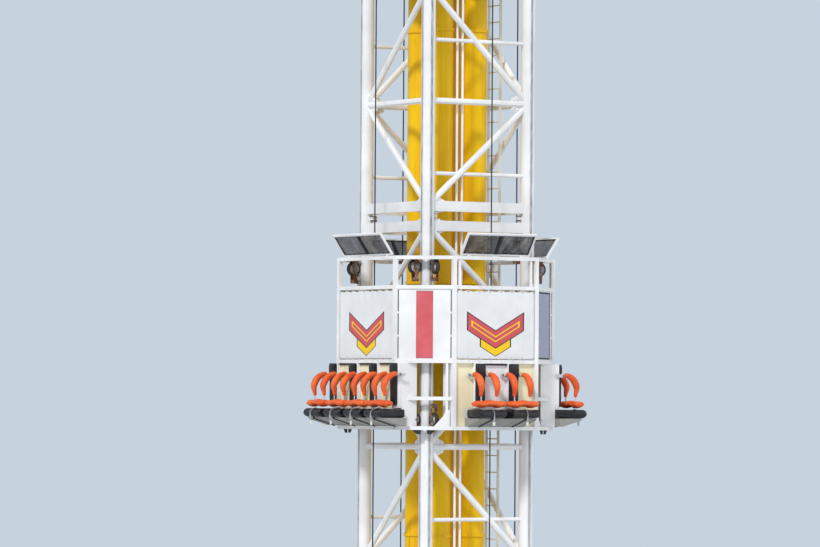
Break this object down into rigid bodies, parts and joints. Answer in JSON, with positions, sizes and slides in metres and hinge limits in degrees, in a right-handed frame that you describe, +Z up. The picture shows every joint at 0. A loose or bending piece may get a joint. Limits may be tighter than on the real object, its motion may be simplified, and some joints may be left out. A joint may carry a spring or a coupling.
{
  "type": "drop tower ride",
  "caption": "Square lattice tower section with drive cylinders, ropes and a sliding seat carriage with shoulder harnesses and guide wheels.",
  "frame": {"origin": "ground level at the centre of the tower, on the underside of the base frame", "axes": "+Z up; -Y is the side that the picture shows at the right, -X is the side that it shows at the left"},
  "size_m": [5.0996, 5.0996, 18.0894],
  "materials": {
    "base_paint": "satin paint, dusty",
    "leg_paint": "satin white paint with dirt streaks and dark wheel tracks",
    "lattice_paint": "satin white paint, light rust at the joints",
    "cylinder_paint": "satin yellow paint",
    "cap_steel": "grey paint",
    "sheave_iron": "greased dark iron",
    "rope_wire": "greased wire rope",
    "pipe_paint": "satin white paint",
    "ladder_paint": "cream white paint with rust",
    "carriage_paint": "satin white paint, rust at welds",
    "panel_paint": "white sheet panel",
    "banner_vinyl": "coated vinyl sheet",
    "tinted_pane": "dark tinted sheet",
    "bracket_paint": "white paint with grease and rust",
    "guide_tyre": "worn rubber tyre on a steel rim",
    "cabinet_paint": "white sheet, satin",
    "seat_vinyl": "black moulded seat skin",
    "tray_paint": "grey paint",
    "hinge_steel": "dark grey paint",
    "harness_foam": "orange moulded foam skin"
  },
  "bodies": {
    "tower": {"base_frame": "base_paint", "legs": "leg_paint", "leg_flanges": "leg_paint", "lattice_front": "lattice_paint", "lattice_right": "lattice_paint", "lattice_back": "lattice_paint", "lattice_left": "lattice_paint", "cylinder_seat": "base_paint", "cylinders": "cylinder_paint", "cylinder_caps": "cap_steel", "head_frame": "base_paint", "head_sheaves": "sheave_iron", "base_sheaves": "sheave_iron", "ropes": "rope_wire", "service_pipes": "pipe_paint", "ladder": "ladder_paint"},
    "carriage": {"frame_front": "carriage_paint", "frame_right": "carriage_paint", "frame_back": "carriage_paint", "frame_left": "carriage_paint", "corner_frames": "carriage_paint", "corner_panels": "panel_paint", "banners": "banner_vinyl", "canopy_frames": "carriage_paint", "canopy_panes": "tinted_pane", "rope_guides": "carriage_paint", "wheel_brackets_top": "bracket_paint", "wheel_brackets_bottom": "bracket_paint", "cabinets": "cabinet_paint", "seat_pans": "seat_vinyl", "seat_backs": "seat_vinyl", "seat_trays": "tray_paint", "hinge_brackets": "hinge_steel"},
    "wheels_top_front": {"wheels_top_front": "guide_tyre"},
    "wheels_top_right": {"wheels_top_right": "guide_tyre"},
    "wheels_top_back": {"wheels_top_back": "guide_tyre"},
    "wheels_top_left": {"wheels_top_left": "guide_tyre"},
    "wheels_low_front": {"wheels_low_front": "guide_tyre"},
    "wheels_low_right": {"wheels_low_right": "guide_tyre"},
    "wheels_low_back": {"wheels_low_back": "guide_tyre"},
    "wheels_low_left": {"wheels_low_left": "guide_tyre"},
    "harness_front_1": {"harness_front_1": "harness_foam"},
    "harness_front_2": {"harness_front_2": "harness_foam"},
    "harness_right_1": {"harness_right_1": "harness_foam"},
    "harness_right_2": {"harness_right_2": "harness_foam"},
    "harness_right_3": {"harness_right_3": "harness_foam"},
    "harness_right_4": {"harness_right_4": "harness_foam"},
    "harness_back_1": {"harness_back_1": "harness_foam"},
    "harness_back_2": {"harness_back_2": "harness_foam"},
    "harness_left_1": {"harness_left_1": "harness_foam"},
    "harness_left_2": {"harness_left_2": "harness_foam"},
    "harness_left_3": {"harness_left_3": "harness_foam"},
    "harness_left_4": {"harness_left_4": "harness_foam"}
  },
  "joints": [
    {"name": "carriage_lift", "type": "slide", "parent": "tower", "child": "carriage", "axis": [0, 0, 1], "range_m": [-4.8, 4.8]},
    {"name": "wheels_top_front_turn", "type": "hinge", "parent": "carriage", "child": "wheels_top_front", "pos_m": [0, -1.525, 10.411], "axis": [-1, 0, 0], "continuous": true},
    {"name": "wheels_top_right_turn", "type": "hinge", "parent": "carriage", "child": "wheels_top_right", "pos_m": [1.525, 0, 10.411], "axis": [0, -1, 0], "continuous": true},
    {"name": "wheels_top_back_turn", "type": "hinge", "parent": "carriage", "child": "wheels_top_back", "pos_m": [0, 1.525, 10.411], "axis": [1, 0, 0], "continuous": true},
    {"name": "wheels_top_left_turn", "type": "hinge", "parent": "carriage", "child": "wheels_top_left", "pos_m": [-1.525, 0, 10.411], "axis": [0, 1, 0], "continuous": true},
    {"name": "wheels_low_front_turn", "type": "hinge", "parent": "carriage", "child": "wheels_low_front", "pos_m": [0, -1.525, 7.27], "axis": [-1, 0, 0], "continuous": true},
    {"name": "wheels_low_right_turn", "type": "hinge", "parent": "carriage", "child": "wheels_low_right", "pos_m": [1.525, 0, 7.27], "axis": [0, -1, 0], "continuous": true},
    {"name": "wheels_low_back_turn", "type": "hinge", "parent": "carriage", "child": "wheels_low_back", "pos_m": [0, 1.525, 7.27], "axis": [1, 0, 0], "continuous": true},
    {"name": "wheels_low_left_turn", "type": "hinge", "parent": "carriage", "child": "wheels_low_left", "pos_m": [-1.525, 0, 7.27], "axis": [0, 1, 0], "continuous": true},
    {"name": "harness_front_1_open", "type": "hinge", "parent": "carriage", "child": "harness_front_1", "pos_m": [-0.406, -1.9997, 8.196], "axis": [-1, 0, 0], "range_deg": [0, 75]},
    {"name": "harness_front_2_open", "type": "hinge", "parent": "carriage", "child": "harness_front_2", "pos_m": [0.406, -1.9997, 8.196], "axis": [-1, 0, 0], "range_deg": [0, 75]},
    {"name": "harness_right_1_open", "type": "hinge", "parent": "carriage", "child": "harness_right_1", "pos_m": [1.9997, -1.218, 8.196], "axis": [0, -1, 0], "range_deg": [0, 75]},
    {"name": "harness_right_2_open", "type": "hinge", "parent": "carriage", "child": "harness_right_2", "pos_m": [1.9997, -0.406, 8.196], "axis": [0, -1, 0], "range_deg": [0, 75]},
    {"name": "harness_right_3_open", "type": "hinge", "parent": "carriage", "child": "harness_right_3", "pos_m": [1.9997, 0.406, 8.196], "axis": [0, -1, 0], "range_deg": [0, 75]},
    {"name": "harness_right_4_open", "type": "hinge", "parent": "carriage", "child": "harness_right_4", "pos_m": [1.9997, 1.218, 8.196], "axis": [0, -1, 0], "range_deg": [0, 75]},
    {"name": "harness_back_1_open", "type": "hinge", "parent": "carriage", "child": "harness_back_1", "pos_m": [0.406, 1.9997, 8.196], "axis": [1, 0, 0], "range_deg": [0, 75]},
    {"name": "harness_back_2_open", "type": "hinge", "parent": "carriage", "child": "harness_back_2", "pos_m": [-0.406, 1.9997, 8.196], "axis": [1, 0, 0], "range_deg": [0, 75]},
    {"name": "harness_left_1_open", "type": "hinge", "parent": "carriage", "child": "harness_left_1", "pos_m": [-1.9997, 1.218, 8.196], "axis": [0, 1, 0], "range_deg": [0, 75]},
    {"name": "harness_left_2_open", "type": "hinge", "parent": "carriage", "child": "harness_left_2", "pos_m": [-1.9997, 0.406, 8.196], "axis": [0, 1, 0], "range_deg": [0, 75]},
    {"name": "harness_left_3_open", "type": "hinge", "parent": "carriage", "child": "harness_left_3", "pos_m": [-1.9997, -0.406, 8.196], "axis": [0, 1, 0], "range_deg": [0, 75]},
    {"name": "harness_left_4_open", "type": "hinge", "parent": "carriage", "child": "harness_left_4", "pos_m": [-1.9997, -1.218, 8.196], "axis": [0, 1, 0], "range_deg": [0, 75]}
  ],
  "couplings": [
    {"joint": "wheels_top_front_turn", "follows": "carriage_lift", "rad_per_m": 6.6667},
    {"joint": "wheels_top_right_turn", "follows": "carriage_lift", "rad_per_m": 6.6667},
    {"joint": "wheels_top_back_turn", "follows": "carriage_lift", "rad_per_m": 6.6667},
    {"joint": "wheels_top_left_turn", "follows": "carriage_lift", "rad_per_m": 6.6667},
    {"joint": "wheels_low_front_turn", "follows": "carriage_lift", "rad_per_m": 6.6667},
    {"joint": "wheels_low_right_turn", "follows": "carriage_lift", "rad_per_m": 6.6667},
    {"joint": "wheels_low_back_turn", "follows": "carriage_lift", "rad_per_m": 6.6667},
    {"joint": "wheels_low_left_turn", "follows": "carriage_lift", "rad_per_m": 6.6667}
  ]
}
